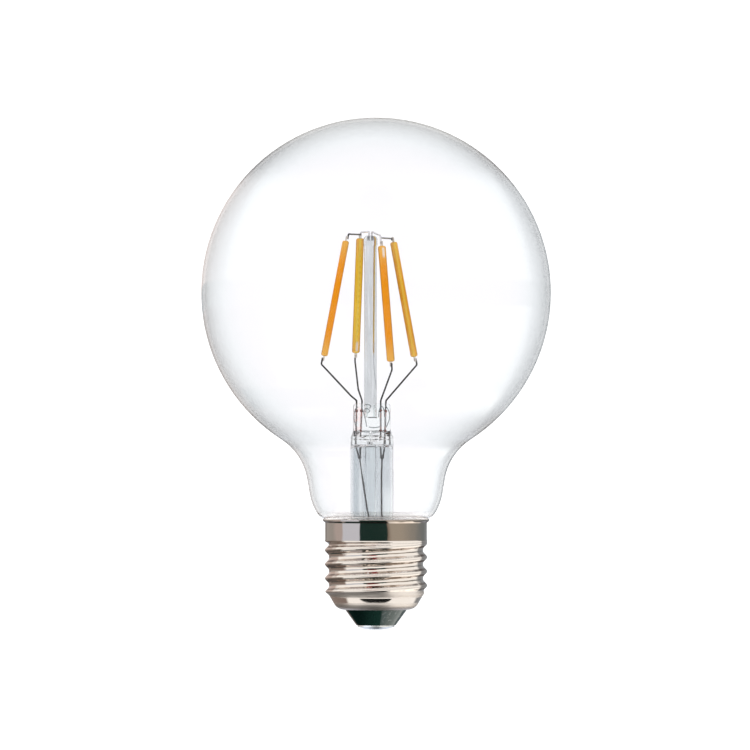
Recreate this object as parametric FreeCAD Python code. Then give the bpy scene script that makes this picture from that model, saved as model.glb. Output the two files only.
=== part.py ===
import FreeCAD, Part

import math
import os

from FreeCAD import Vector

# Globe bulb with four filament strips and a 27 mm screw cap, in millimetres.
# The origin is the middle of the contact's underside, +Z runs up to the globe's crown,
# and the front, seen as in the photograph, is the side towards -Y.

# Screw cap, from the contact upwards
contact_radius = 4.75
contact_flat_radius = 1.4
contact_height = 1.13
contact_edge_height = 0.4
contact_bulge = 0.17         # of its underside, below a straight cone
insulator_foot_radius = 5.08
insulator_height = 3.97      # from the contact up to the shell's lip
insulator_seat = 2.3         # how far it stands up inside the shell
insulator_floor = 1.4
wire_hole_radius = 0.5
funnel_foot_radius = 1.1
funnel_radius = 6.6
sheet = 0.4                  # radial wall of the shell
lip_radius = 7.95
lip_width = 0.25
corner_radius = 3.0
cone_angle = 29.7            # degrees from upright
cone_height = 3.1            # from the lip up to the thread
thread_pitch = 3.629
thread_length = 14.8
crest_radius = 13.175
thread_depth = 1.065
roll_step = 0.06             # tiny ledge where the rolled stretch starts and ends
crest_sharpness = 1.5        # above 1 the grooves are wider than the ridges
left_crest_rise = 12.22      # of a crest on the left side, above the thread's lower end
run_in_length = 1.8          # over which the lowest groove deepens
run_in_start = 0.4           # from the thread's lower end up to where that begins
run_out_length = 1.1         # over which the highest groove fades
run_out_end = 0.1            # from where that ends up to the thread's upper end
skirt_radius = 13.1
skirt_length = 4.5
rim_radius = 13.7
rim_height = 0.95
rim_flare_height = 0.48      # over which the skirt flares out to the rim
rim_chamfer = 0.12
cement_height = 2.9
cement_depth = 0.2           # from the skirt's top down to the cement

lip_height = contact_height + insulator_height
thread_bottom = lip_height + cone_height
thread_top = thread_bottom + thread_length
skirt_top = thread_top + skirt_length
rim_top = skirt_top + rim_height

# Glass envelope, from its open end in the cap upwards
glass_wall = 0.8
seal_radius = 11.2           # outside of the neck's open end
seal_depth = 7.45            # from the cap's rim down to that end
neck_rise = 13.95            # from that end up to the neck's taper
neck_radius = 17.05          # at the lower end of the taper
neck_taper = 9.6             # degrees from upright
taper_length = 3.921
throat_radius = 15.0         # hollow curve between globe and neck
shoulder_radius = 14.0       # two round curves that close the neck towards the cap
shoulder_end_angle = 30.0    # degrees from upright where the first gives way to the second
heel_radius = 4.2
heel_end_angle = 75.0
tuck_radius = 1.2            # hollow curve that turns the glass down into the cap
globe_diameter = 90.0

seal_height = rim_top - seal_depth
neck_height = seal_height + neck_rise

# Stem, from its flare upwards
stem_offset = -1.05          # the stem leans a little to the left of the bulb's axis
flare_radius = 5.575
flare_wall = 0.7
flare_sweep_radius = 3.7     # of the trumpet at its foot
flare_length = 27.9          # up to where the tube begins to narrow
cavity_depth = 0.35          # from there down to the ceiling of the room inside
cavity_round_radius = 1.5
pinch_half_width = 4.85
pinch_half_depth = 1.5
pinch_run_length = 2.8       # over which the tube passes into the flat pinch
pinch_length = 6.5
pinch_edge_radius = 0.9
jaw_margin = 0.3             # the jaws open a little wider than the tube
jaw_drop = 1.0               # and reach this far below its shoulder
dent_width = 3.3
dent_length = 2.4
dent_rise = 0.4              # above the flat pinch's lower end
dent_depth = 0.45
dent_shift = 0.5             # of the mark to the right of the post
post_diameter = 3.25
post_offset = -1.43
post_sink_depth = 3.6        # of the post's foot in the pinch
bead_diameter = 3.6
bead_length = 2.6
bead_edge_radius = 1.1
exhaust_diameter = 3.8
exhaust_wall = 0.7
exhaust_reach = 4.0          # of the sealed tip below the neck's open end
blow_hole_radius = 0.45
root_spacing = 0.7           # between the two anchor wires in the bead

shoulder_height = seal_height + flare_length
cavity_top = shoulder_height - cavity_depth
pinch_start = shoulder_height + pinch_run_length
pinch_top = pinch_start + pinch_length
post_foot = pinch_top - post_sink_depth
exhaust_tip = seal_height - exhaust_reach

# Filament strips, numbered from the left by where their lower ends are seen
filament_length = 30.2
coating_width = 2.05
coating_depth = 1.6
coating_edge_radius = 0.5
carrier_width = 0.9
carrier_depth = 0.35
carrier_margin = 1.3         # from the coating's end to the carrier's end
clip_width = 0.7
clip_depth = 0.25
clip_reach = 1.3             # how far a lug stands out of the coating
chip_count = 18
chip_length = 0.9
chip_width = 0.55
chip_depth = 0.15
cage_top_radius = 7.0
cage_bottom_radius = 12.9
cage_rise = 13.0             # of the highest strip's lower end above the pinch
strip_drops = (0.81, 0.0, 2.21, 1.0)                     # of each strip below the highest
strip_top_angles = (197.0, 116.0, 291.0, 37.5)           # degrees round the stem
strip_bottom_angles = (198.0, 109.0, 292.0, 32.0)

cage_foot = pinch_top + cage_rise
post_top = cage_foot + filament_length

# Wires
wire_diameter = 0.45
wire_bend_radius = 0.5
top_wire_bend_radius = 0.4
supply_bend_radius = 1.0
seal_wire_diameter = 0.5
seal_wire_top_depth = 1.9    # below the pinch's top
seal_wire_bottom_depth = 0.7     # below the flat pinch's lower end
lead_entry_rise = 0.7        # above the pinch's top, where the inner leads turn down
lead_exit_depth = 1.0        # below the shoulder, where the outer legs turn away
lap_length = 0.8             # of a wire welded along a lug
elbow_reach = 0.9            # of a wire past a lug before it turns
lead_entry_offsets = (-5.0, -3.6, 1.2, 2.55)
lead_exit_offsets = (-5.2, -4.05, 1.2, 2.25)
left_knee = (-6.5, -1.9, 2.0)    # bend of the first lead on its way, above the pinch's top
back_knee = (-4.6, 3.4, 3.6)     # and of the second
joint_radius = 0.55
leg_gap = 0.04
left_joint_offset = -4.22
right_joint_offset = 1.6
left_joint_depth = 4.2       # below the shoulder
right_joint_depth = 4.1
left_lead_bends = ((-3.2, -1.3, 16.4), (-1.95, -2.6, 7.9))     # above the neck's open end
right_lead_bends = ((1.42, 0.0, 18.2), (1.42, -0.65, 7.9))
left_jumper_rise = 0.35      # above the post
right_jumper_drop = 0.7      # below the post's top
corner_rise = 0.6            # from a jumper up to its anchor wire's corner
anchor_rise = 1.0            # from the post's top up to the anchor wires' first bend

# Supply circuit in the cap
board_rise = 3.8             # above the thread's lower end
board_thickness = 1.0
board_clearance = 0.3
capacitor_diameter = 5.0
capacitor_clearance = 0.7    # below the stem's flange
capacitor_place = (-1.6, 7.0)
capacitor_edge_radius = 0.4
groove_radius = 0.35         # pressed into the can near its foot
groove_depth = 0.25
groove_rise = 1.2
resistor_diameter = 2.3
resistor_length = 6.3
resistor_place = (-6.6, -1.5)
resistor_lead_reach = 1.0
rectifier_size = (4.7, 3.9, 2.4)
rectifier_place = (6.6, -1.5)
chip_package_size = (4.9, 3.9, 1.5)
chip_package_place = (4.2, 3.2)
chip_foot_width = 0.6
chip_foot_thickness = 0.25
chip_foot_reach = 0.4
chip_foot_spread = 0.6       # between the feet's two rows, as a share of the package's length
lead_pad_left = (-1.7, -6.6)
lead_pad_right = (2.2, -6.6)
lead_pad_rise = 3.0          # length of the supply leads' upright ends on the board
shell_wire_offset = 9.2
shell_wire_turn = 2.2        # above the cone's foot, where the wire turns outwards
shell_wire_end = 0.7         # above the cone's foot, where it meets the shell

board_bottom = thread_bottom + board_rise
board_top = board_bottom + board_thickness
capacitor_top = seal_height - flare_wall - capacitor_clearance

columns = 48                 # of the thread's surface, round the cap
rows_per_turn = 12           # of the thread's surface, up the cap
tiny = 0.001                 # for telling whether two heights are equal

X_AXIS = Vector(1, 0, 0)
Y_AXIS = Vector(0, 1, 0)
Z_AXIS = Vector(0, 0, 1)


def side(radius, height):
    """Point of a turned outline, drawn in the XZ plane."""
    return Vector(radius, 0, height)


def line(start, end):
    return Part.LineSegment(start, end).toShape()


def turned(edges):
    """Solid of revolution about the bulb's axis from the edges of a closed outline."""
    return Part.Face(Part.Wire(edges)).revolve(Vector(), Z_AXIS, 360)


def turned_points(points):
    """Solid of revolution from the corners of a closed outline."""
    corners = [side(*point) for point in points]
    return turned([line(a, b) for a, b in zip(corners, corners[1:] + corners[:1])])


def cylinder(radius, bottom, top, x=0.0, y=0.0):
    return Part.makeCylinder(radius, top - bottom, Vector(x, y, bottom))


def block(size, x, y, bottom):
    """Upright box centred on x and y."""
    return Part.makeBox(size[0], size[1], size[2], Vector(x - size[0] / 2, y - size[1] / 2, bottom))


def edges_at(shape, height):
    """Edges of a shape that lie level at a height."""
    return [edge for edge in shape.Edges
            if abs(edge.BoundBox.ZMin - height) < tiny and abs(edge.BoundBox.ZMax - height) < tiny]


def slant(angle):
    """Direction down a wall of the neck that leans inwards by an angle in degrees."""
    return Vector(-math.sin(math.radians(angle)), 0, -math.cos(math.radians(angle)))


def arc_from(start, radius, first, last):
    """Arc that starts at a point of the neck and turns from one lean to another."""
    bend = 1 if last > first else -1
    centre = start + Vector(slant(first).z, 0, -slant(first).x) * radius * bend

    def at(lean):
        return centre - Vector(slant(lean).z, 0, -slant(lean).x) * radius * bend

    return Part.Arc(start, at((first + last) / 2), at(last)).toShape(), at(last)


def throat_centre():
    """Centre of the hollow curve above the neck's taper."""
    along = slant(neck_taper) * -1
    outwards = Vector(along.z, 0, -along.x)
    return side(neck_radius, neck_height) + along * taper_length + outwards * throat_radius


def globe_centre():
    """Centre of the globe, high enough for the hollow curve to run into it without a bend."""
    throat = throat_centre()
    reach = globe_diameter / 2 + throat_radius
    return side(0, throat.z + math.sqrt(reach ** 2 - throat.x ** 2))


def envelope_outline(inset):
    """Open outline of the glass from crown to seal, drawn inside the outer one by an inset."""
    globe = globe_centre()
    globe_radius = globe_diameter / 2 - inset
    throat = throat_centre()
    inwards = slant(neck_taper)
    outwards = Vector(-inwards.z, 0, inwards.x)
    meeting = globe + (throat - globe).normalize() * globe_radius
    lean = math.atan2(meeting.z - globe.z, meeting.x)
    waist = (lean + math.pi / 2) / 2
    half_way = globe + side(math.cos(waist), math.sin(waist)) * globe_radius
    taper_start = throat - outwards * (throat_radius + inset)
    middle = ((meeting - throat).normalize() + (taper_start - throat).normalize()).normalize()
    throat_middle = throat + middle * (throat_radius + inset)
    taper_end = side(neck_radius, neck_height) - outwards * inset
    shoulder, shoulder_foot = arc_from(taper_end, shoulder_radius - inset, neck_taper, shoulder_end_angle)
    heel, heel_foot = arc_from(shoulder_foot, heel_radius - inset, shoulder_end_angle, heel_end_angle)
    tuck, tuck_foot = arc_from(heel_foot, tuck_radius + inset, heel_end_angle, 0)
    return [
        Part.Arc(side(0, globe.z + globe_radius), half_way, meeting).toShape(),
        Part.Arc(meeting, throat_middle, taper_start).toShape(),
        line(taper_start, taper_end),
        shoulder,
        heel,
        tuck,
        line(tuck_foot, side(seal_radius - inset, seal_height)),
    ]


def envelope_filling(inset):
    """Everything inside the outline, down to the seal."""
    outline = envelope_outline(inset)
    crown = outline[0].Vertexes[0].Point
    seal = side(seal_radius - inset, seal_height)
    return turned(outline + [line(seal, side(0, seal_height)), line(side(0, seal_height), crown)])


def glass_envelope():
    return envelope_filling(0).cut(envelope_filling(glass_wall))


def s_curve(start, end):
    """Two equal arcs from one upright wall to another, in the XZ plane."""
    width = start.x - end.x
    height = end.z - start.z
    radius = (width ** 2 + height ** 2) / (4 * width)
    half_turn = math.atan2(width, height)
    step = side(math.cos(half_turn), math.sin(half_turn)) * radius
    middle = (start + end) / 2
    lower = Part.Arc(start, start - X_AXIS * radius + step, middle).toShape()
    upper = Part.Arc(middle, end + X_AXIS * radius - step, end).toShape()
    return [lower, upper]


def rounded_top(corner, radius):
    """Quarter arc over a corner of an outline in the XZ plane, from its wall to its top."""
    centre = corner - side(radius, radius)
    middle = centre + side(radius, radius) * math.sqrt(0.5)
    return Part.Arc(centre + X_AXIS * radius, middle, centre + Z_AXIS * radius).toShape()


def mirrored(edges):
    """The edges together with their mirror images across the outline's upright axis."""
    return edges + [edge.mirror(Vector(), X_AXIS) for edge in edges]


def flare_filling(inset, top):
    """Trumpet and tube of the flare, solid, inside the outer wall by an inset and flat at the top."""
    radius = flare_radius - inset
    sweep = flare_sweep_radius + inset
    centre = side(radius + sweep, seal_height + flare_sweep_radius)
    rim = centre - Z_AXIS * sweep
    waist = centre - X_AXIS * sweep
    diagonal = centre - side(sweep, sweep) * math.sqrt(0.5)
    filling = turned([
        line(side(0, rim.z), rim),
        Part.Arc(rim, diagonal, waist).toShape(),
        line(waist, side(radius, top)),
        line(side(radius, top), side(0, top)),
        line(side(0, top), side(0, rim.z)),
    ])
    filling.translate(X_AXIS * stem_offset)
    return filling


def pressed_half(foot, width):
    """Half outline of the pressed end: from a point of the wall in to half a width, up and over."""
    narrow = side(width, pinch_start)
    corner = side(width, pinch_top)
    return s_curve(foot, narrow) + [
        line(narrow, corner - Z_AXIS * pinch_edge_radius),
        rounded_top(corner, pinch_edge_radius),
        line(corner - X_AXIS * pinch_edge_radius, side(0, pinch_top)),
    ]


def pinch_filling():
    """The tube's end, closed and pressed flat between two jaws."""
    base = shoulder_height - jaw_drop
    foot = side(flare_radius, base)
    wall = side(flare_radius, shoulder_height)
    walls = [line(side(0, pinch_top), side(0, base)), line(side(0, base), foot), line(foot, wall)]
    body = turned(walls + pressed_half(wall, pinch_half_width))
    mouth = side(flare_radius + jaw_margin, base)
    profile = mirrored([line(side(0, base), mouth)] + pressed_half(mouth, pinch_half_depth))
    jaws = Part.Face(Part.Wire(Part.sortEdges(profile)[0])).extrude(Y_AXIS * flare_radius * 4)
    jaws.translate(Y_AXIS * flare_radius * -2)
    jaws.rotate(Vector(), Z_AXIS, 90)
    pinch = body.common(jaws)
    pinch.translate(X_AXIS * stem_offset)
    return pinch


def post_filling():
    """Rod of the post with its melted bead."""
    rod = cylinder(post_diameter / 2, post_foot, post_top - bead_length)
    bead = cylinder(bead_diameter / 2, post_top - bead_length, post_top)
    bead = bead.makeFillet(bead_edge_radius, edges_at(bead, post_top))
    post = rod.fuse(bead)
    post.rotate(Vector(), Z_AXIS, 90)
    post.translate(X_AXIS * post_offset)
    return post


def exhaust_tube():
    """Tube below the pressed glass, with its melted round tip."""
    radius = exhaust_diameter / 2
    bore = radius - exhaust_wall
    start = exhaust_tip + radius
    tip = Vector(post_offset, 0, start)
    tube = cylinder(radius, start, cavity_top, post_offset).fuse(Part.makeSphere(radius, tip))
    hollow = cylinder(bore, start, cavity_top, post_offset).fuse(Part.makeSphere(bore, tip))
    return tube.cut(hollow).removeSplitter()


def blow_hole():
    """Passage from the exhaust tube's bore out through the back of the flare's shoulder."""
    start = Vector(post_offset, 0, cavity_top - blow_hole_radius)
    return Part.makeCylinder(blow_hole_radius, flare_radius * 2, start, Vector(0, 1, 1))


def flare_cavity():
    """Room inside the flare, with a rounded ceiling under the pressed glass."""
    cavity = flare_filling(flare_wall, cavity_top)
    return cavity.makeFillet(cavity_round_radius, edges_at(cavity, cavity_top))


def press_dents():
    """Marks of the press jaws, front and back."""
    size = (dent_width, dent_depth * 2, dent_length)
    faces = (-pinch_half_depth, pinch_half_depth)
    front, back = [block(size, post_offset + dent_shift, y, pinch_start + dent_rise) for y in faces]
    return front.fuse(back)


def stem_flare(wires):
    foot = cylinder(seal_radius, seal_height - flare_wall, seal_height)
    stem = foot.fuse(flare_filling(0, shoulder_height)).fuse(pinch_filling()).removeSplitter()
    for hollow in [flare_cavity(), post_filling(), press_dents(), blow_hole()] + wires:
        stem = stem.cut(hollow)
    return stem


def bent_wire(points, diameter, bend=wire_bend_radius):
    """Round wire along straight runs joined by tangent arcs."""
    edges = []
    start = points[0]
    for before, corner, after in zip(points, points[1:], points[2:]):
        back = (before - corner).normalize()
        ahead = (after - corner).normalize()
        half_angle = back.getAngle(ahead) / 2
        reach = bend / math.tan(half_angle)
        inner = (back + ahead).normalize()
        middle = corner + inner * (bend / math.sin(half_angle) - bend)
        edges.append(line(start, corner + back * reach))
        edges.append(Part.Arc(corner + back * reach, middle, corner + ahead * reach).toShape())
        start = corner + ahead * reach
    edges.append(line(start, points[-1]))
    section = Part.Circle(points[0], points[1] - points[0], diameter / 2).toShape()
    return Part.Wire(edges).makePipeShell([Part.Wire(section)], True, False)


def on_circle(radius, angle, height):
    """Point round the stem's axis."""
    turn = math.radians(angle)
    return Vector(stem_offset + radius * math.cos(turn), radius * math.sin(turn), height)


class Strip:
    """Place of one filament strip: its two ends and its own three directions."""

    def __init__(self, top_angle, bottom_angle, drop):
        top = on_circle(cage_top_radius, top_angle, 0)
        bottom = on_circle(cage_bottom_radius, bottom_angle, 0)
        spread = (bottom - top).Length
        height = math.sqrt(filament_length ** 2 - spread ** 2)
        self.top = top + Z_AXIS * (cage_foot - drop + height)
        self.bottom = bottom + Z_AXIS * (cage_foot - drop)
        self.along = (self.bottom - self.top).normalize()
        away = (top + bottom) / 2 - Vector(stem_offset, 0, 0)
        self.outward = (away - self.along * away.dot(self.along)).normalize()
        self.across = self.outward.cross(self.along)

    def place(self, shape):
        """Move a shape drawn with its top end at the origin, running along +Z, onto the strip."""
        a, o, d, t = self.across, self.outward, self.along, self.top
        matrix = FreeCAD.Matrix(a.x, o.x, d.x, t.x, a.y, o.y, d.y, t.y, a.z, o.z, d.z, t.z, 0, 0, 0, 1)
        return shape.transformed(matrix)

    def lug_point(self, at_top, outer, beyond):
        """Point on the axis of a wire that lies on a lug's face, past the lug's free end."""
        offset = self.outward * ((clip_depth + wire_diameter) / 2) * (1 if outer else -1)
        if at_top:
            return self.top - self.along * (clip_reach + beyond) + offset
        return self.bottom + self.along * (clip_reach + beyond) + offset


def carrier_strip():
    length = filament_length - 2 * carrier_margin
    return block((carrier_width, carrier_depth, length), 0, 0, carrier_margin)


def led_chips():
    """Row of chips on the outer face of the carrier strip."""
    room = filament_length - 2 * carrier_margin
    pitch = room / chip_count
    face = (carrier_depth + chip_depth) / 2
    size = (chip_width, chip_depth, chip_length)
    middles = [carrier_margin + pitch * (number + 0.5) for number in range(chip_count)]
    return Part.makeCompound([block(size, 0, face, middle - chip_length / 2) for middle in middles])


def end_clip(at_top):
    """Flat lug from the carrier's end out through the coating."""
    size = (clip_width, clip_depth, clip_reach + carrier_margin)
    return block(size, 0, 0, -clip_reach if at_top else filament_length - carrier_margin)


def filament_coating():
    """Soft coating round the carrier, with rounded ends."""
    radius = coating_depth / 2
    shift = coating_width / 2 - radius
    right = [Vector(shift, -radius, 0), Vector(shift + radius, 0, 0), Vector(shift, radius, 0)]
    left = [Vector(-point.x, -point.y, 0) for point in right]
    outline = [
        Part.Arc(*right).toShape(),
        line(right[2], left[0]),
        Part.Arc(*left).toShape(),
        line(left[2], right[0]),
    ]
    body = Part.Face(Part.Wire(outline)).extrude(Z_AXIS * filament_length)
    body = body.makeFillet(coating_edge_radius, edges_at(body, 0) + edges_at(body, filament_length))
    body = body.cut(carrier_strip()).cut(end_clip(True)).cut(end_clip(False))
    for chip in led_chips().Solids:
        body = body.cut(chip)
    return body


class SealLine:
    """Straight line that a lead follows through the pressed glass, from its entry to its exit."""

    def __init__(self, entry, leave):
        self.top = Vector(entry, 0, pinch_top + lead_entry_rise)
        self.bottom = Vector(leave, 0, shoulder_height - lead_exit_depth)

    def at(self, height):
        share = (height - self.bottom.z) / (self.top.z - self.bottom.z)
        return self.bottom + (self.top - self.bottom) * share

    def seal_top(self):
        return self.at(pinch_top - seal_wire_top_depth)

    def seal_bottom(self):
        return self.at(pinch_start - seal_wire_bottom_depth)


def inner_lead(strip, run, knee):
    points = [strip.lug_point(False, True, -lap_length), strip.lug_point(False, True, elbow_reach)]
    if knee:
        points.append(Vector(*knee) + Z_AXIS * pinch_top)
    return bent_wire(points + [run.top, run.seal_top()], wire_diameter)


def seal_wire(run):
    return bent_wire([run.seal_top(), run.seal_bottom()], seal_wire_diameter)


def outer_leg(run, joint):
    way = 1 if run.bottom.x > joint.x else -1
    end = joint + X_AXIS * (way * (wire_diameter + leg_gap) / 2)
    leg = bent_wire([run.seal_bottom(), run.bottom, end], wire_diameter)
    return leg.cut(Part.makeSphere(joint_radius, joint))


def supply_lead(joint, bends, pad):
    """Wire from the twisted joint of two legs, past the exhaust tube, down onto the board."""
    corners = [Vector(*bend) + Z_AXIS * seal_height for bend in bends]
    foot = Vector(pad[0], pad[1], board_top)
    points = [joint] + corners + [foot + Z_AXIS * lead_pad_rise, foot]
    lead = bent_wire(points, wire_diameter, supply_bend_radius)
    return lead.fuse(Part.makeSphere(joint_radius, joint))


def anchor_wire(strip, root_x, height):
    """Wire from inside the post's bead over to a strip's upper lug."""
    root = Vector(root_x, 0, post_top - bead_length * 0.5)
    rise = Vector(root_x, 0, post_top + anchor_rise)
    foot = strip.lug_point(True, False, -lap_length)
    corner = strip.lug_point(True, False, 0)
    corner += strip.along * ((corner.z - height - corner_rise) / -strip.along.z)
    return bent_wire([root, rise, corner, foot], wire_diameter, top_wire_bend_radius)


def jumper_wire(near, far, height):
    """Wire from the side of one strip's anchor wire to the next strip's upper lug."""
    start = near.lug_point(True, False, 0)
    start += near.along * ((start.z - height) / -near.along.z)
    foot = far.lug_point(True, False, -lap_length)
    corner = far.lug_point(True, False, 0)
    corner += far.along * ((corner.z - height) / -far.along.z)
    return bent_wire([start, corner, foot], wire_diameter, top_wire_bend_radius)


def smooth(value):
    """Soft step from 0 to 1."""
    value = min(1.0, max(0.0, value))
    return value * value * (3 - 2 * value)


def cone_foot():
    """Point where the shell's rounded corner passes into its cone."""
    lean = math.radians(cone_angle)
    centre = side(lip_radius + lip_width, lip_height + corner_radius)
    return centre + side(math.cos(lean), -math.sin(lean)) * corner_radius


def cone_top_radius():
    foot = cone_foot()
    return foot.x + (thread_bottom - foot.z) * math.tan(math.radians(cone_angle))


def shell_radius(turn, height):
    """Outer radius of the rolled stretch: a plain envelope with a helical groove pressed into it."""
    low = cone_top_radius() + roll_step
    high = skirt_radius + roll_step
    envelope = low + (crest_radius - low) * smooth((height - thread_bottom) / run_in_length)
    envelope += (high - crest_radius) * smooth((height - thread_top + run_out_length) / run_out_length)
    phase = (height - thread_bottom - left_crest_rise) / thread_pitch - (turn - math.pi) / (2 * math.pi)
    ridge = (0.5 + 0.5 * math.cos(2 * math.pi * phase)) ** crest_sharpness
    start = smooth((height - thread_bottom - run_in_start) / run_in_length)
    finish = smooth((thread_top - run_out_end - height) / run_out_length)
    return envelope - thread_depth * (1 - ridge) * start * finish


def thread_filling(inset):
    """Solid inside the rolled stretch's wall, less an inset, flat at both ends."""
    rows = round((thread_top - thread_bottom) / thread_pitch * rows_per_turn)
    grid = []
    for column in range(columns + 1):
        turn = 2 * math.pi * (column % columns) / columns
        upright = []
        for row in range(rows + 1):
            height = thread_bottom + (thread_top - thread_bottom) * row / rows
            radius = shell_radius(turn, height) - inset
            upright.append(Vector(radius * math.cos(turn), radius * math.sin(turn), height))
        grid.append(upright)
    surface = Part.BSplineSurface()
    surface.interpolate(grid)
    wall = surface.toShape()
    ends = [Part.Face(Part.Wire(edge)) for edge in wall.Edges if edge.isClosed()]
    shell = Part.Shell([wall] + ends)
    shell.sewShape()
    return Part.Solid(shell)


def lower_shell():
    """Cone, rounded corner and lip below the thread."""
    lean = math.radians(cone_angle)
    half = (math.pi / 2 + lean) / 2
    centre = side(lip_radius + lip_width, lip_height + corner_radius)
    runs = []
    for inset in (0, sheet):
        radius = corner_radius - inset * math.cos(lean)
        top = side(cone_top_radius() - inset, thread_bottom)
        foot = centre + side(math.cos(lean), -math.sin(lean)) * radius
        middle = centre + side(math.cos(half), -math.sin(half)) * radius
        flat = centre - Z_AXIS * radius
        lip = side(lip_radius, flat.z)
        runs.append((top, lip, [line(top, foot), Part.Arc(foot, middle, flat).toShape(), line(flat, lip)]))
    (outer_top, outer_lip, outer), (inner_top, inner_lip, inner) = runs
    ends = [line(outer_top, inner_top), line(outer_lip, inner_lip)]
    return turned(Part.sortEdges(outer + inner + ends)[0])


def upper_shell():
    """Plain skirt above the thread, with its flared rim."""
    return turned_points([
        (skirt_radius, thread_top),
        (skirt_radius, skirt_top),
        (rim_radius, skirt_top + rim_flare_height),
        (rim_radius, rim_top - rim_chamfer),
        (rim_radius - rim_chamfer, rim_top),
        (rim_radius - sheet, rim_top),
        (skirt_radius - sheet, rim_top - rim_flare_height),
        (skirt_radius - sheet, thread_top),
    ])


def cap_shell():
    rolled = thread_filling(0).cut(thread_filling(sheet))
    return lower_shell().fuse(rolled).fuse(upper_shell())


def cap_insulator():
    floor = lip_height + sheet * math.cos(math.radians(cone_angle))
    reach = lip_radius + lip_width
    return turned_points([
        (wire_hole_radius, contact_height),
        (insulator_foot_radius, contact_height),
        (lip_radius, lip_height),
        (lip_radius, floor),
        (reach, floor),
        (reach, lip_height + insulator_seat),
        (funnel_radius, lip_height + insulator_seat),
        (funnel_foot_radius, contact_height + insulator_floor),
        (wire_hole_radius, contact_height + insulator_floor),
    ])


def centre_contact():
    flat = side(contact_flat_radius, 0)
    edge = side(contact_radius, contact_height - contact_edge_height)
    chord = edge - flat
    middle = (flat + edge) / 2 + Vector(chord.z, 0, -chord.x).normalize() * contact_bulge
    top = side(contact_radius, contact_height)
    outline = [
        line(side(0, contact_height), side(0, 0)),
        line(side(0, 0), flat),
        Part.Arc(flat, middle, edge).toShape(),
        line(edge, top),
        line(top, side(0, contact_height)),
    ]
    return turned(outline)


def cement_ring():
    top = skirt_top - cement_depth
    return cylinder(skirt_radius - sheet, top - cement_height, top).cut(envelope_filling(0))


def driver_board():
    radius = crest_radius - thread_depth - sheet - board_clearance
    return cylinder(radius, board_bottom, board_top)


def capacitor():
    """Round can with the pressed groove near its foot."""
    x, y = capacitor_place
    radius = capacitor_diameter / 2
    can = cylinder(radius, board_top, capacitor_top, x, y)
    can = can.makeFillet(capacitor_edge_radius, edges_at(can, capacitor_top))
    middle = Vector(x, y, board_top + groove_rise)
    return can.cut(Part.makeTorus(radius + groove_radius - groove_depth, groove_radius, middle))


def fuse_resistor():
    """Round body lying above the board, with its two bent leads."""
    x, y = resistor_place
    radius = resistor_diameter / 2
    height = board_top + radius
    body = Part.makeCylinder(radius, resistor_length, Vector(x, y - resistor_length / 2, height), Y_AXIS)
    reach = resistor_length / 2 + resistor_lead_reach
    ends = []
    for way in (-1, 1):
        foot = Vector(x, y + reach * way, board_top)
        points = [Vector(x, y, height), Vector(x, y + reach * way, height), foot]
        ends.append(bent_wire(points, wire_diameter))
    return body.fuse(ends[0]).fuse(ends[1])


def chip_package(size, place):
    """Moulded package with its row of flat feet along two sides."""
    x, y = place
    length, width, height = size
    package = block((length, width - 2 * chip_foot_reach, height), x, y, board_top)
    for column in (-0.5, 0.5):
        row = x + column * chip_foot_spread * length
        package = package.fuse(block((chip_foot_width, width, chip_foot_thickness), row, y, board_top))
    return package


def contact_wire():
    return cylinder(wire_diameter / 2, contact_height, board_bottom)


def shell_wire():
    """Wire from the board's underside to the inner wall of the cap's cone."""
    foot = cone_foot()
    return bent_wire([
        Vector(shell_wire_offset, 0, board_bottom),
        Vector(shell_wire_offset, 0, foot.z + shell_wire_turn),
        Vector(foot.x - sheet - wire_diameter, 0, foot.z + shell_wire_end),
    ], wire_diameter)


def save(name, shape):
    shape.exportStep("parts/" + name + ".step")


def save_strips(strips):
    for number, strip in enumerate(strips, 1):
        save("filament_coating_%d" % number, strip.place(filament_coating()))
        save("carrier_strip_%d" % number, strip.place(carrier_strip()))
        save("led_chips_%d" % number, strip.place(led_chips()))
        save("upper_clip_%d" % number, strip.place(end_clip(True)))
        save("lower_clip_%d" % number, strip.place(end_clip(False)))


def joints():
    """Points below the stem where the left two and the right two legs are twisted together."""
    left = Vector(left_joint_offset, 0, shoulder_height - left_joint_depth)
    right = Vector(right_joint_offset, 0, shoulder_height - right_joint_depth)
    return left, right


def save_leads(strips):
    """Save the wires through the pressed glass and return them."""
    left, right = joints()
    wires = []
    runs = [SealLine(entry, leave) for entry, leave in zip(lead_entry_offsets, lead_exit_offsets)]
    ways = zip(strips, runs, (left_knee, back_knee, None, None), (left, left, right, right))
    for number, (strip, run, knee, joint) in enumerate(ways, 1):
        pieces = {
            "inner_lead": inner_lead(strip, run, knee),
            "seal_wire": seal_wire(run),
            "outer_leg": outer_leg(run, joint),
        }
        for name, piece in pieces.items():
            save("%s_%d" % (name, number), piece)
            wires.append(piece)
    return wires


def save_top_wires(strips):
    """Save the wires at the top and return the two that stand in the post."""
    left_height = post_top + left_jumper_rise
    right_height = post_top - right_jumper_drop
    left = anchor_wire(strips[1], post_offset - root_spacing / 2, left_height)
    right = anchor_wire(strips[2], post_offset + root_spacing / 2, right_height)
    save("anchor_wire_left", left)
    save("anchor_wire_right", right)
    save("jumper_wire_left", jumper_wire(strips[1], strips[0], left_height).cut(left))
    save("jumper_wire_right", jumper_wire(strips[2], strips[3], right_height).cut(right))
    return [left, right]


def save_glass(wires, anchors):
    save("glass_envelope", glass_envelope())
    save("stem_flare", stem_flare(wires))
    save("exhaust_tube", exhaust_tube())
    post = post_filling()
    for anchor in anchors:
        post = post.cut(anchor)
    save("support_post", post)


def save_cap():
    save("cap_shell", cap_shell())
    save("cap_insulator", cap_insulator())
    save("centre_contact", centre_contact())
    save("cement_ring", cement_ring())


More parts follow.
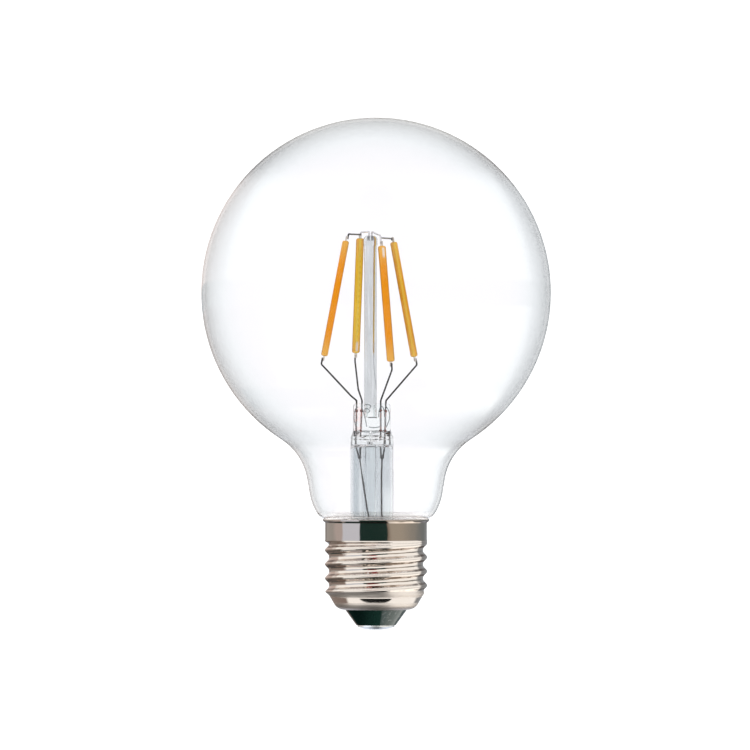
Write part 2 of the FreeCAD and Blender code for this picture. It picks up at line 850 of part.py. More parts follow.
def save_supply():
    left, right = joints()
    save("supply_lead_left", supply_lead(left, left_lead_bends, lead_pad_left))
    save("supply_lead_right", supply_lead(right, right_lead_bends, lead_pad_right))
    save("driver_board", driver_board())
    save("capacitor", capacitor())
    save("fuse_resistor", fuse_resistor())
    save("rectifier", chip_package(rectifier_size, rectifier_place))
    save("driver_chip", chip_package(chip_package_size, chip_package_place))
    save("contact_wire", contact_wire())
    save("shell_wire", shell_wire())


def main():
    os.makedirs("parts", exist_ok=True)
    strips = [Strip(*place) for place in zip(strip_top_angles, strip_bottom_angles, strip_drops)]
    save_strips(strips)
    wires = save_leads(strips)
    anchors = save_top_wires(strips)
    save_glass(wires, anchors)
    save_cap()
    save_supply()


main()
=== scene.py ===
"""Finishes, small fittings and studio of the globe bulb, laid out as an add-on and run as a script."""
import math

import bpy
from bpy.props import FloatProperty, FloatVectorProperty, PointerProperty
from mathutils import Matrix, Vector


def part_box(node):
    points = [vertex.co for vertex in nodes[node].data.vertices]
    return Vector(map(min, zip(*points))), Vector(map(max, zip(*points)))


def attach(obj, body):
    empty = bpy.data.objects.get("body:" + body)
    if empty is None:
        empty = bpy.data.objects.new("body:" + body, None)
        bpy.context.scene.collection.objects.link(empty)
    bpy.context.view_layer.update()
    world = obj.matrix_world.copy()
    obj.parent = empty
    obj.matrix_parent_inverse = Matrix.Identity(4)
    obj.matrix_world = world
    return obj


bl_info = {
    "name": "Globe bulb",
    "version": (1, 0, 0),
    "blender": (4, 5, 0),
    "location": "3D View > Sidebar > Globe bulb",
    "description": "Dresses the globe bulb and sets up its studio",
    "category": "Object",
}

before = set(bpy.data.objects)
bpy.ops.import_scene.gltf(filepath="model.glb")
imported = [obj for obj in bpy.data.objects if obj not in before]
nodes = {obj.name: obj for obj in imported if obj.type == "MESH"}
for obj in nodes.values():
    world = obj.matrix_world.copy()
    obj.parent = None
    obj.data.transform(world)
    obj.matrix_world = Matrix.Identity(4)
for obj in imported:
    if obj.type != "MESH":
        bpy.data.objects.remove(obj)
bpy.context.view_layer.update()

STRIPS = (1, 2, 3, 4)
RIGHT = (1, 0, 0)
BACK = (0, 1, 0)
UP = (0, 0, 1)
MM_PER_M = 1000

BEAD_FINENESS = 3       # subdivisions of a bead's ball
BEAD_TURNS = (3.1, 3.1, 3.1)    # most that a bead is turned about each axis, in radians
BEAD_SIZE_SEED = 4
BEAD_TURN_SEED = 7
ROD_STEPS = 24          # points along a rod
ROD_SIDES = 16          # points round a rod
STREAK_DETAIL = 2.0


def colour(name, description, default):
    """Property for a colour."""
    return FloatVectorProperty(name=name, description=description, default=default,
                               subtype="COLOR", size=3, min=0, max=1)


def glow(name, description, default):
    """Property for light that may be brighter than white."""
    return FloatVectorProperty(name=name, description=description, default=default,
                               subtype="COLOR", size=3, min=0, max=10, soft_max=4)


def amount(name, description, default, high=1.0):
    """Property for a plain share or strength."""
    return FloatProperty(name=name, description=description, default=default, min=0, max=high)


def length(name, description, default):
    """Property for a length in metres."""
    return FloatProperty(name=name, description=description, default=default, min=0,
                         unit="LENGTH", subtype="DISTANCE", precision=5)


class Value:
    """An output socket of a node tree that can be used in sums like a number."""

    def __init__(self, recipe, socket):
        self.recipe = recipe
        self.socket = socket

    def math(self, operation, *others):
        """Result of an operation with this value as its first input."""
        steps = dict(enumerate((self, *others)))
        return self.recipe.add("ShaderNodeMath", steps, operation=operation)

    def __add__(self, other):
        return self.math("ADD", other)

    def __radd__(self, other):
        return self.math("ADD", other)

    def __sub__(self, other):
        return self.math("SUBTRACT", other)

    def __rsub__(self, other):
        return self.math("MULTIPLY", -1.0).math("ADD", other)

    def __mul__(self, other):
        return self.math("MULTIPLY", other)

    def __truediv__(self, other):
        return self.math("DIVIDE", other)

    def __pow__(self, other):
        return self.math("POWER", other)

    def __abs__(self):
        return self.math("ABSOLUTE")

    def __neg__(self):
        return self.math("MULTIPLY", -1.0)

    def step(self, low, high):
        """Soft rise from 0 to 1 between two values."""
        ends = {"Value": self, "From Min": low, "From Max": high}
        return self.recipe.add("ShaderNodeMapRange", ends, interpolation_type="SMOOTHSTEP")

    def band(self, low, high, soft):
        """1 between two values, and 0 outside, with soft sides."""
        return self.step(low - soft, low + soft) - self.step(high - soft, high + soft)


class Recipe:
    """Node tree of a material, of the room's light or of a row of like pieces."""

    def __init__(self, tree):
        self.tree = tree
        self.tree.nodes.clear()

    def add(self, kind, inputs=None, output=0, **settings):
        """Add a node, set it up, fill its inputs by identifier, name or number, return an output."""
        node = self.tree.nodes.new(kind)
        for key, value in settings.items():
            setattr(node, key, value)
        for key, value in (inputs or {}).items():
            self.fill(self.find(node.inputs, key), value)
        return Value(self, self.find(node.outputs, output)) if node.outputs else None

    @staticmethod
    def find(sockets, key):
        """Socket with a number, an identifier or a name."""
        if isinstance(key, int):
            return sockets[key]
        for socket in sockets:
            if socket.identifier == key:
                return socket
        return sockets[key]

    def fill(self, socket, value):
        """Link a value to a socket, or set the socket to a plain value."""
        if isinstance(value, Value):
            self.tree.links.new(value.socket, socket)
        elif socket.type == "RGBA" and len(value) == 3:
            socket.default_value = (*value, 1.0)
        else:
            socket.default_value = value

    def blend(self, share, first, second):
        """Colour between two others."""
        parts = {"Factor_Float": share, "A_Color": first, "B_Color": second}
        return self.add("ShaderNodeMix", parts, "Result_Color", data_type="RGBA")

    def direction(self, source, axis):
        """Length of a vector along an axis."""
        return self.add("ShaderNodeVectorMath", {0: source, 1: axis}, "Value",
                        operation="DOT_PRODUCT")


def finish(name, **sockets):
    """Material with one principled surface, and its recipe and surface for more steps."""
    material = bpy.data.materials.new(name)
    material.use_nodes = True
    recipe = Recipe(material.node_tree)
    surface = recipe.add("ShaderNodeBsdfPrincipled", sockets)
    recipe.add("ShaderNodeOutputMaterial", {"Surface": surface})
    return material, recipe, surface.socket.node


def coat(material, *names):
    """Give CAD nodes a material."""
    for name in names:
        mesh = nodes[name].data
        mesh.materials.clear()
        mesh.materials.append(material)


def numbered(*stems):
    """Names of the pieces that each of the four strips has."""
    return [f"{stem}_{number}" for stem in stems for number in STRIPS]


class Stretch:
    """Long axis of a straight CAD node, with the direction from the stem outwards."""

    END_SHARE = 0.01    # of the node's height, whose points are taken as its end

    def __init__(self, name):
        points = [vertex.co for vertex in nodes[name].data.vertices]
        high = max(point.z for point in points)
        low = min(point.z for point in points)
        margin = (high - low) * self.END_SHARE
        self.top = middle([point for point in points if point.z > high - margin])
        self.bottom = middle([point for point in points if point.z < low + margin])
        self.centre = (self.top + self.bottom) / 2
        self.along = (self.bottom - self.top).normalized()
        away = Vector((self.centre.x - exhaust_side(), self.centre.y, 0))
        self.outward = (away - self.along * away.dot(self.along)).normalized()
        self.across = self.outward.cross(self.along)


def grown(name, points, edges, material, build, **sizes):
    """Plain mesh that a geometry tree grows on points and edges, with its named sizes filled in."""
    mesh = bpy.data.meshes.new(name + " line")
    mesh.from_pydata(points, edges, [])
    seed = bpy.data.objects.new(name + " line", mesh)
    bpy.context.scene.collection.objects.link(seed)
    tree = bpy.data.node_groups.new(name, "GeometryNodeTree")
    recipe = Recipe(tree)
    tree.interface.new_socket("Geometry", in_out="INPUT", socket_type="NodeSocketGeometry")
    sockets = {key: tree.interface.new_socket(key.replace("_", " ").capitalize(), in_out="INPUT",
                                              socket_type="NodeSocketFloat") for key in sizes}
    tree.interface.new_socket("Geometry", in_out="OUTPUT", socket_type="NodeSocketGeometry")
    group = tree.nodes.new("NodeGroupInput")
    inputs = {key: Value(recipe, recipe.find(group.outputs, socket.identifier))
              for key, socket in sockets.items()}
    shape = build(recipe, Value(recipe, group.outputs[0]), **inputs)
    real = recipe.add("GeometryNodeRealizeInstances", {"Geometry": shape})
    smooth = recipe.add("GeometryNodeSetShadeSmooth", {"Geometry": real})
    dressed = recipe.add("GeometryNodeSetMaterial", {"Geometry": smooth, "Material": material})
    output = tree.nodes.new("NodeGroupOutput")
    recipe.fill(output.inputs[0], dressed)
    modifier = seed.modifiers.new(name, "NODES")
    modifier.node_group = tree
    for key, socket in sockets.items():
        modifier[socket.identifier] = sizes[key]
    graph = bpy.context.evaluated_depsgraph_get()
    plain = bpy.data.meshes.new_from_object(seed.evaluated_get(graph), depsgraph=graph)
    seed.modifiers.clear()
    bpy.data.objects.remove(seed)
    piece = bpy.data.objects.new(name, plain)
    bpy.context.scene.collection.objects.link(piece)
    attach(piece, "root")
    return piece


def beads(recipe, points, diameter, unevenness):
    """Small melted beads on points, each a little different."""
    ball = recipe.add("GeometryNodeMeshIcoSphere", {
        "Radius": diameter / 2, "Subdivisions": BEAD_FINENESS}, "Mesh")
    low = 1 - unevenness
    high = 1 + unevenness
    stretch = recipe.add("FunctionNodeRandomValue", {
        "Min": recipe.add("ShaderNodeCombineXYZ", {"X": low, "Y": low, "Z": low}),
        "Max": recipe.add("ShaderNodeCombineXYZ", {"X": high, "Y": high, "Z": high}),
        "Seed": BEAD_SIZE_SEED}, data_type="FLOAT_VECTOR")
    turn = recipe.add("FunctionNodeRandomValue", {
        "Min": (0.0, 0.0, 0.0), "Max": BEAD_TURNS, "Seed": BEAD_TURN_SEED}, data_type="FLOAT_VECTOR")
    return recipe.add("GeometryNodeInstanceOnPoints", {
        "Points": points, "Instance": ball, "Rotation": turn, "Scale": stretch})


def rods(recipe, lines, diameter):
    """Round rods along smooth curves through the lines' points, closed at their ends."""
    curve = recipe.add("GeometryNodeMeshToCurve", {"Mesh": lines})
    curve = recipe.add("GeometryNodeCurveSplineType", {"Curve": curve}, spline_type="CATMULL_ROM")
    curve = recipe.add("GeometryNodeResampleCurve", {"Curve": curve, "Count": ROD_STEPS})
    section = recipe.add("GeometryNodeCurvePrimitiveCircle", {
        "Resolution": ROD_SIDES, "Radius": diameter / 2}, "Curve")
    return recipe.add("GeometryNodeCurveToMesh", {
        "Curve": curve, "Profile Curve": section, "Fill Caps": True})


def streaks(recipe, place, across, upright):
    """Soft uneven pattern with its own fineness across and upright, both in waves per metre."""
    stretched = recipe.add("ShaderNodeVectorMath", {0: place, 1: (across, across, upright)},
                           operation="MULTIPLY")
    return recipe.add("ShaderNodeTexNoise", {
        "Vector": stretched, "Scale": 1.0, "Detail": STREAK_DETAIL})


def object_place(recipe):
    """Place on a piece, which all share because every piece lies at the origin."""
    return recipe.add("ShaderNodeTexCoord", output="Object")


def middle(points):
    """Mean of some points."""
    return sum(points, Vector()) / len(points)


def flare_side():
    """How far to the right the flare's axis lies, measured at the glass's upper end."""
    points = [vertex.co for vertex in nodes["stem_flare"].data.vertices]
    high = max(point.z for point in points)
    upper = [point.x for point in points if point.z > high - 0.005]
    return (min(upper) + max(upper)) / 2


def exhaust_side():
    """How far to the right the exhaust tube's axis lies, which is the post's as well."""
    low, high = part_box("exhaust_tube")
    return (low[0] + high[0]) / 2


class GlassSettings(bpy.types.PropertyGroup):
    """Clear glass of the envelope and the stem."""

    clear: colour("Clear tint", "Colour of the envelope seen face on", (0.917, 0.914, 0.928))
    # The slanted and rim tints are painted shade that darkens the envelope towards its outline.
    slant_shade: colour("Slanted tint", "Colour of the envelope seen at a slant", (0.87, 0.90, 0.912))
    rim_shade: colour("Rim tint", "Colour of the envelope where it is seen edge on", (0.33, 0.345, 0.35))
    sheen: colour("Sheen", "Share of the light that the envelope mirrors", (0.25, 0.25, 0.25))
    # The flare's grey tints are painted shade, paler at the right as painted light.
    flare: colour("Flare tint", "Colour of the flare's glass at the left", (0.66, 0.70, 0.72))
    lit_flare: colour("Pale flare tint", "Colour of the flare's glass at the right",
                       (0.75, 0.78, 0.795))
    pinch: colour("Pinch tint", "Colour of the pressed glass", (0.93, 0.96, 0.955))
    blush: colour("Blush", "Colour that the seal wires lend to the glass round them", (0.99, 0.85, 0.82))
    exhaust: colour("Exhaust tube tint", "Colour of the exhaust tube's glass", (0.98, 0.99, 0.99))
    # The post's grey tint is painted shade, and its brighter streaks are painted light.
    post: colour("Post tint", "Colour of the post's glass", (0.60, 0.625, 0.635))
    post_light_streak: colour("Post streak", "Colour of the post's brighter streaks", (0.86, 0.88, 0.89))
    bend: amount("Refraction", "Refractive index of the glass", 1.5, 3.0)
    press_depth: length("Press marks", "Depth of the waves in the pressed glass", 0.00016)
    # The ridges' dark tint is painted shade.
    ridge: colour("Ridge tint", "Colour of the fine melted ridges on the pressed glass",
                  (0.30, 0.33, 0.34))
    ridge_width: length("Ridge width", "Diameter of a melted ridge", 0.00024)


class FilamentSettings(bpy.types.PropertyGroup):
    """Amber strips."""

    amber: colour("Amber", "Colour of the front strips' coating", (1.0, 0.345, 0.004))
    yellow: colour("Yellow", "Colour of the back strips' coating", (1.0, 0.62, 0.04))
    ochre: colour("Ochre", "Colour of the right strip's coating", (0.86, 0.38, 0.022))
    # Painted shade along the coating's sides.
    edge: colour("Edge", "Colour of the coating along its sides", (0.55, 0.26, 0.02))
    # Painted highlight along a back strip.
    stripe: colour("Stripe", "Colour of the light stripe along a back strip", (1.0, 0.72, 0.09))
    lug: colour("Lug", "Colour of the metal ends as they show through the coating", (1.0, 0.84, 0.66))
    shade: colour("Shade", "Colour of the chips as they show through the coating", (0.35, 0.10, 0.004))
    chip_pitch: length("Chip pitch", "Distance from one chip to the next", 0.001533)
    chip_show: amount("Chip show", "How far the chips show through the coating", 0.18)
    chip: colour("Chip", "Colour of the chips", (0.10, 0.05, 0.02))
    strip: colour("Plated strip", "Colour of the carrier strips and their lugs", (0.62, 0.58, 0.50))
    pale: colour("Pale end", "Colour of the coating near its ends", (1.0, 0.52, 0.09))


class MetalSettings(bpy.types.PropertyGroup):
    """Cap and wires."""

    plate: colour("Plating", "Colour of the plated cap", (0.62, 0.545, 0.49))
    roughness: amount("Cap roughness", "Roughness of the plated cap", 0.08)
    solder: colour("Solder", "Colour of the soldered contact", (0.96, 0.96, 0.95))
    dent: length("Dent depth", "Depth of the faint dents in the thin cap", 0.0001)
    lining: colour("Lining", "Colour of the cement that lines the cap's mouth", (0.93, 0.91, 0.88))
    # Painted light: glow given to the cement.
    lining_light: amount("Lining light", "Light that the neck's glass leads onto the cement", 0.75)
    dull: amount("Dull roughness", "Roughness of the cap where it was drawn in", 0.42)
    seal_bead: length("Seal bead", "Diameter of the weld beads at the seal wires' ends", 0.0008)
    wire: colour("Wire", "Colour of the plain wires", (0.045, 0.04, 0.04))
    pale_wire: colour("Pale wire", "Colour of the anchor wires", (0.72, 0.70, 0.71))
    weld: colour("Weld", "Colour of the weld spots", (0.42, 0.38, 0.35))
    weld_size: length("Weld size", "Diameter of a weld spot", 0.00075)
    seal_weld: colour("Seal weld", "Colour of the weld beads at the seal wires' ends",
                      (0.26, 0.09, 0.065))
    seal: colour("Seal wire", "Colour of the copper-clad wires in the glass", (0.70, 0.24, 0.15))
    oxide: colour("Oxide", "Colour of the dark patches on the copper", (0.07, 0.03, 0.03))
    insulator: colour("Insulator", "Colour of the black insulator", (0.008, 0.026, 0.020))
    # Painted shade: the insulator's left side darker.
    shade: colour("Insulator shade", "Colour of the insulator's darker left side",
                  (0.001, 0.005, 0.004))
    # Fine scratches painted lighter: partly real wear, partly painted highlight.
    scratch_glint: colour("Scratch", "Colour of the fine scratches in the insulator", (0.10, 0.11, 0.105))


class CircuitSettings(bpy.types.PropertyGroup):
    """Supply circuit in the cap."""

    board: colour("Board", "Colour of the circuit board", (0.70, 0.71, 0.66))
    sleeve: colour("Sleeve", "Colour of the capacitor's sleeve", (0.03, 0.03, 0.035))
    moulding: colour("Moulding", "Colour of the moulded packages", (0.015, 0.015, 0.017))


class StudioSettings(bpy.types.PropertyGroup):
    """Backdrop, room and camera."""

    backdrop: amount("Backdrop", "Brightness of the white backdrop", 1.2, 10.0)
    room: colour("Room", "Light that the room gives from behind", (0.34, 0.36, 0.38))
    high_left: colour("High left", "Light from above at the left", (0.74, 0.63, 0.59))
    low_left: colour("Low left", "Light from below at the left", (0.33, 0.275, 0.25))
    red: colour("Red", "Light of a small red thing above the camera", (0.50, 0.04, 0.06))
    gap: colour("Gap", "Light past the ends of the white sheets", (0.10, 0.085, 0.08))
    far_left: colour("Far left", "Light from the left, behind the bulb", (0.47, 0.457, 0.436))
    near_left: colour("Near left", "Light from the left", (0.61, 0.55, 0.53))
    soft_box: colour("Soft box", "Light of the soft box at the left of the camera", (0.80, 0.87, 1.0))
    dark: colour("Dark", "The dark round the camera", (0.014, 0.042, 0.036))
    under: colour("Under", "The dark below the camera", (0.004, 0.005, 0.005))
    dusk: colour("Dusk", "Light right beside the dark", (0.27, 0.22, 0.175))
    bronze: colour("Bronze", "Light from the right", (0.50, 0.46, 0.39))
    far_right: colour("Far right", "Light from the right, behind the bulb", (0.23, 0.26, 0.27))
    sheet: glow("White sheets", "Light of the white sheets above and below", (1.45, 1.5, 1.5))
    low_box: glow("Low box", "Light of the soft box below, at the right", (2.1, 2.1, 2.0))
    reach: length("Backdrop radius", "Radius of the backdrop", 8.0)
    distance: length("Camera distance", "Distance from the camera to the bulb's axis", 2.2)
    frame_height: length("Frame height", "Height that the picture covers at the bulb's axis", 0.1931)
    aim_height: length("Aim height", "Height of the picture's middle", 0.0655)
    aim_side: length("Aim to the side", "How far left of the axis the picture's middle is", 0.00027)


class BULB_OT_glass(bpy.types.Operator):
    """Give the envelope and the stem clear glass."""

    bl_idname = "bulb.glass"
    bl_label = "Glass"

    # Envelope: shares of a glancing look, and heights in metres, over which the painted shade of the
    # outline comes in
    SLANTED = (0.34, 0.60)
    ABOVE_CAP = (0.0290, 0.0305)
    RIM_POWER = 1.35

    # Stem: places to the right of the flare's axis and heights, in metres, over which a tint comes in
    # Painted light on the flare: its right side paler, and near clear low on its right.
    LIT_SIDE = (-0.0045, -0.003)
    LIT_PATCH_SIDE = (0.002, 0.004)
    LIT_PATCH_FOOT = (0.0335, 0.0385)
    LIT_PATCH_SHARE = 0.6
    PRESSED_LENGTH = 0.0095     # of the glass above the tube's shoulder
    PRESSED_START = (-0.0004, 0.0008)       # measured from the shoulder
    WAVES_START = (0.0014, 0.0022)
    BLUSH_SIDE = (-0.0062, -0.0026, 0.0004)     # with the softness of its ends
    BLUSH_MARGINS = (0.0012, 0.001)         # above the shoulder and below the glass's top
    BLUSH_SOFT = 0.0006
    POST_CLEAR = (0.0005, 0.004)            # above the post's foot

    # Patterns, in waves per metre across and upright
    TUBE_STREAKS = (900.0, 25.0)
    BLUSH_BLOTCHES = (900.0, 600.0)
    PRESS_WAVES = (420.0, 520.0)
    POST_STREAKS = (1500.0, 60.0)

    def execute(self, context):
        settings = context.scene.bulb_glass
        self.envelope(settings)
        self.flare(settings)
        self.post(settings)
        self.glass(settings, "exhaust_tube", lambda recipe, place: settings.exhaust)
        return {"FINISHED"}

    def glass(self, settings, name, tint):
        """Clear glass with a tint that is worked out from the place."""
        material, recipe, surface = finish(f"Glass of {name}", **{
            "Roughness": 0.0, "IOR": settings.bend, "Transmission Weight": 1.0})
        place = object_place(recipe)
        recipe.fill(surface.inputs["Base Color"], tint(recipe, place))
        coat(material, name)
        return recipe, surface, place

    def envelope(self, settings):
        """Thin clear glass, greyed towards its outline by painted shade."""
        def tint(recipe, place):
            facing = recipe.add("ShaderNodeLayerWeight", {"Blend": 0.5}, "Facing")
            above_cap = recipe.direction(place, UP).step(*self.ABOVE_CAP)
            # Painted shade: grey tint where the glass is seen at a slant and edge on, above the cap.
            edge = (facing * 2 - 1).math("MAXIMUM", 0.0) ** self.RIM_POWER * above_cap
            slant_shade = facing.step(*self.SLANTED) * above_cap
            face = recipe.blend(slant_shade, settings.clear, settings.slant_shade)
            return recipe.blend(edge, face, settings.rim_shade)

        _, surface, _ = self.glass(settings, "glass_envelope", tint)
        surface.inputs["Specular Tint"].default_value = (*settings.sheen, 1.0)

    def flare(self, settings):
        """Greyish tube of painted shade, paler at the right by painted light, under clear, wavy pressed
        glass, with a blush from the copper at its left.
        """
        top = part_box("stem_flare")[1][2]
        shoulder = top - self.PRESSED_LENGTH
        axis = flare_side()

        def tint(recipe, place):
            height = recipe.direction(place, UP)
            side = recipe.direction(place, RIGHT) - axis
            streak = streaks(recipe, place, *self.TUBE_STREAKS).step(0.52, 0.62) * 0.5
            # Painted shade on the tube, paler at the right and near clear low on its right as painted
            # light.
            tube = recipe.blend(side.step(*self.LIT_SIDE), settings.flare, settings.lit_flare)
            light = side.step(*self.LIT_PATCH_SIDE) * (1 - height.step(*self.LIT_PATCH_FOOT))
            tube = recipe.blend(light * self.LIT_PATCH_SHARE, tube, settings.pinch)
            tube = recipe.blend(streak, tube, settings.pinch)
            blotch = streaks(recipe, place, *self.BLUSH_BLOTCHES).step(0.42, 0.52)
            foot, head = self.BLUSH_MARGINS
            wires = height.band(shoulder + foot, top - head, self.BLUSH_SOFT)
            blush = blotch * (side.band(*self.BLUSH_SIDE) * wires)
            pressed = recipe.blend(blush, settings.pinch, settings.blush)
            start, full = self.PRESSED_START
            return recipe.blend(height.step(shoulder + start, shoulder + full), tube, pressed)

        recipe, surface, place = self.glass(settings, "stem_flare", tint)
        start, full = self.WAVES_START
        rise = recipe.direction(place, UP).step(shoulder + start, shoulder + full)
        waves = streaks(recipe, place, *self.PRESS_WAVES) * rise
        recipe.fill(surface.inputs["Normal"], recipe.add("ShaderNodeBump", {
            "Height": waves, "Distance": settings.press_depth}))

    def post(self, settings):
        """Greyish rod of painted shade with brighter streaks of painted light, clear where it is fused
        into the pressed glass.
        """
        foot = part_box("support_post")[0][2]

        def tint(recipe, place):
            height = recipe.direction(place, UP)
            # Painted shade on the rod, with brighter painted streaks of light.
            streak = streaks(recipe, place, *self.POST_STREAKS).step(0.50, 0.66) * 0.7
            rod = recipe.blend(streak, settings.post, settings.post_light_streak)
            start, full = self.POST_CLEAR
            return recipe.blend(height.step(foot + start, foot + full), settings.pinch, rod)

        self.glass(settings, "support_post", tint)


class BULB_OT_ridges(bpy.types.Operator):
    """Raise fine melted ridges on the pressed glass, darkened by painted shade: jaw lines, curls round
    the post and a loop.
    """

    bl_idname = "bulb.ridges"
    bl_label = "Melted ridges"

    # Each line as places to the right of the flare's axis and below the pressed glass's top, in mm
    LINES = (
        ((-1.0, 3.65), (0.2, 3.6), (1.3, 3.7)),
        ((-0.8, 6.05), (0.5, 6.25), (2.0, 6.0)),
        ((1.75, 3.6), (1.9, 1.6), (2.45, 0.75), (3.05, 1.5), (3.25, 3.5)),
        ((-2.0, 0.5), (-1.1, 0.25), (-0.3, 0.7), (-0.7, 1.3)),
        ((-2.0, 1.8), (-1.4, 1.3), (-0.6, 1.9), (-1.2, 2.6)),
        ((-3.6, 0.9), (-4.3, 1.6), (-4.6, 3.6), (-4.2, 5.9)),
        ((-2.7, 0.7), (-2.1, 2.6), (-1.6, 4.6), (-1.4, 6.0)),
        ((3.6, 0.8), (4.3, 1.9), (4.5, 3.8), (3.7, 6.1)),
    )
    FRONT = -1.48       # just under the pressed glass's front, in mm

    def execute(self, context):
        settings = context.scene.bulb_glass
        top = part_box("stem_flare")[1][2]
        axis = flare_side()
        points = []
        edges = []
        for line in self.LINES:
            first = len(points)
            for side, depth in line:
                points.append(Vector((axis + side / MM_PER_M, self.FRONT / MM_PER_M,
                                      top - depth / MM_PER_M)))
            edges += [(number, number + 1) for number in range(first, len(points) - 1)]
        # The ridges' glass is darkened with painted shade.
        material, _, _ = finish("Ridge glass", **{
            "Base Color": settings.ridge, "Roughness": 0.0, "IOR": settings.bend,
            "Transmission Weight": 1.0})
        piece = grown("melted_ridges", points, edges, material, rods, diameter=settings.ridge_width)
        return {"FINISHED"}


class BULB_OT_filaments(bpy.types.Operator):
    """Give the strips their amber coating and their metal parts."""

    bl_idname = "bulb.filaments"
    bl_label = "Filament strips"

    # Strips whose metal end shows: 1 for the lower end, -1 for the upper
    OPEN_ENDS = {2: 1, 3: -1}
    # How clearly the painted highlight stripe shows on each back strip
    HIGHLIGHT_SHARES = {2: 0.95, 4: 0.55}

    # Distances from a strip's middle, in metres, over which a tone comes in
    PALE_ENDS = (0.008, 0.0155)
    HIGHLIGHT_BAND = (-0.0002, 0.00035, 0.00015)    # with the softness of its sides
    SHADED_EDGES = (0.0006, 0.00105)
    LUG_START = (0.0116, 0.0126)
    LUG_END = (0.0143, 0.0147)
    LUG_SIDE = (0.00025, 0.0004)
    CHIP_SIDE = (0.0001, 0.0003)
    CHIP_HALF = 0.2     # half of a chip's length, as a share of the pitch

    def execute(self, context):
        settings = context.scene.bulb_filament
        for number in STRIPS:
            self.coating(settings, number)
        strip, _, _ = finish("Plated strip", **{
            "Base Color": settings.strip, "Metallic": 1.0, "Roughness": 0.3})
        coat(strip, *numbered("carrier_strip", "upper_clip", "lower_clip"))
        chip, _, _ = finish("Chip", **{"Base Color": settings.chip, "Roughness": 0.2})
        coat(chip, *numbered("led_chips"))
        return {"FINISHED"}

    def coating(self, settings, number):
        """Amber silicone, paler at the strip's ends, with metal ends and chips showing through, a
        painted highlight stripe on back strips and painted shade along its sides.
        """
        material, recipe, surface = finish(f"Amber coating {number}", **{
            "Roughness": 0.5, "Specular IOR Level": 0.06})
        stretch = Stretch(f"filament_coating_{number}")
        place = object_place(recipe)

        def off_middle(direction):
            """Signed distance from the strip's middle along a direction."""
            return recipe.direction(place, direction) - direction.dot(stretch.centre)

        along = abs(off_middle(stretch.along))
        across = abs(off_middle(stretch.across))
        side = off_middle(stretch.along.cross(Vector(BACK)).normalized())
        ends = along.step(*self.PALE_ENDS)
        base = {2: settings.yellow, 4: settings.ochre}.get(number, settings.amber)
        tone = recipe.blend(ends, base, settings.pale)
        # Painted highlight: a light stripe along each back strip.
        if stretch.outward.y >= 0:
            stripe = side.band(*self.HIGHLIGHT_BAND) * self.HIGHLIGHT_SHARES[number]
            tone = recipe.blend(stripe, tone, settings.stripe)
        # Painted shade: the coating darker along its sides.
        tone = recipe.blend(abs(side).step(*self.SHADED_EDGES), tone, settings.edge)
        if number in self.OPEN_ENDS:
            down = off_middle(stretch.along * self.OPEN_ENDS[number])
            lug = down.step(*self.LUG_START) * (1 - down.step(*self.LUG_END))
            tone = recipe.blend(lug * (1 - across.step(*self.LUG_SIDE)), tone, settings.lug)
        row = along * (1 / settings.chip_pitch) + 0.5
        dot = abs(row.math("FRACT") - 0.5).math("LESS_THAN", self.CHIP_HALF)
        mark = dot * (1 - across.step(*self.CHIP_SIDE)) * (1 - ends) * settings.chip_show
        recipe.fill(surface.inputs["Base Color"], recipe.blend(mark, tone, settings.shade))
        coat(material, f"filament_coating_{number}")


class BULB_OT_wires(bpy.types.Operator):
    """Give the wires their metals."""

    bl_idname = "bulb.wires"
    bl_label = "Wires"

    PLAIN = ("supply_lead_left", "supply_lead_right", "jumper_wire_left", "jumper_wire_right",
             "contact_wire", "shell_wire")
    OXIDE_PATCHES = (500.0, 420.0)      # waves per metre across and upright

    def execute(self, context):
        settings = context.scene.bulb_metal
        plain, _, _ = finish("Bright wire", **{
            "Base Color": settings.wire, "Metallic": 1.0, "Roughness": 0.2})
        coat(plain, *numbered("inner_lead", "outer_leg"), *self.PLAIN)
        pale, _, _ = finish("Pale wire", **{
            "Base Color": settings.pale_wire, "Metallic": 1.0, "Roughness": 0.25})
        coat(pale, "anchor_wire_left", "anchor_wire_right")
        copper, recipe, surface = finish("Copper wire", **{"Metallic": 1.0, "Roughness": 0.35})
        patch = streaks(recipe, object_place(recipe), *self.OXIDE_PATCHES).step(0.44, 0.50)
        tone = recipe.blend(patch, settings.seal, settings.oxide)
        recipe.fill(surface.inputs["Base Color"], tone)
        coat(copper, *numbered("seal_wire"))
        return {"FINISHED"}


class BULB_OT_weld_spots(bpy.types.Operator):
    """Set small melted beads at the wires' welds: on the strips' lugs and in the pressed glass."""

    bl_idname = "bulb.weld_spots"
    bl_label = "Weld spots"

    INSET = 0.0005      # of a spot from the lug's free end, in metres
    WIRE_SHARE = 0.25   # of a spot's diameter, how far it sits towards the wire
    SPOT_UNEVENNESS = 0.18
    BEAD_UNEVENNESS = 0.3

    def execute(self, context):
        settings = context.scene.bulb_metal
        metal, _, _ = finish("Weld metal", **{
            "Base Color": settings.weld, "Metallic": 1.0, "Roughness": 0.28})
        towards_wire = settings.weld_size * self.WIRE_SHARE
        spots = []
        for number in STRIPS:
            upper = Stretch(f"upper_clip_{number}")
            spots.append(upper.top + upper.along * self.INSET - upper.outward * towards_wire)
            lower = Stretch(f"lower_clip_{number}")
            spots.append(lower.bottom - lower.along * self.INSET + lower.outward * towards_wire)
        piece = grown("weld_spots", spots, [], metal, beads,
                      diameter=settings.weld_size, unevenness=self.SPOT_UNEVENNESS)
        brown, _, _ = finish("Seal bead", **{
            "Base Color": settings.seal_weld, "Metallic": 1.0, "Roughness": 0.35})
        wires = [Stretch(name) for name in numbered("seal_wire")]
        knots = [end for wire in wires for end in (wire.top, wire.bottom)]
        piece = grown("seal_weld_beads", knots, [], brown, beads,
                      diameter=settings.seal_bead, unevenness=self.BEAD_UNEVENNESS)
        return {"FINISHED"}


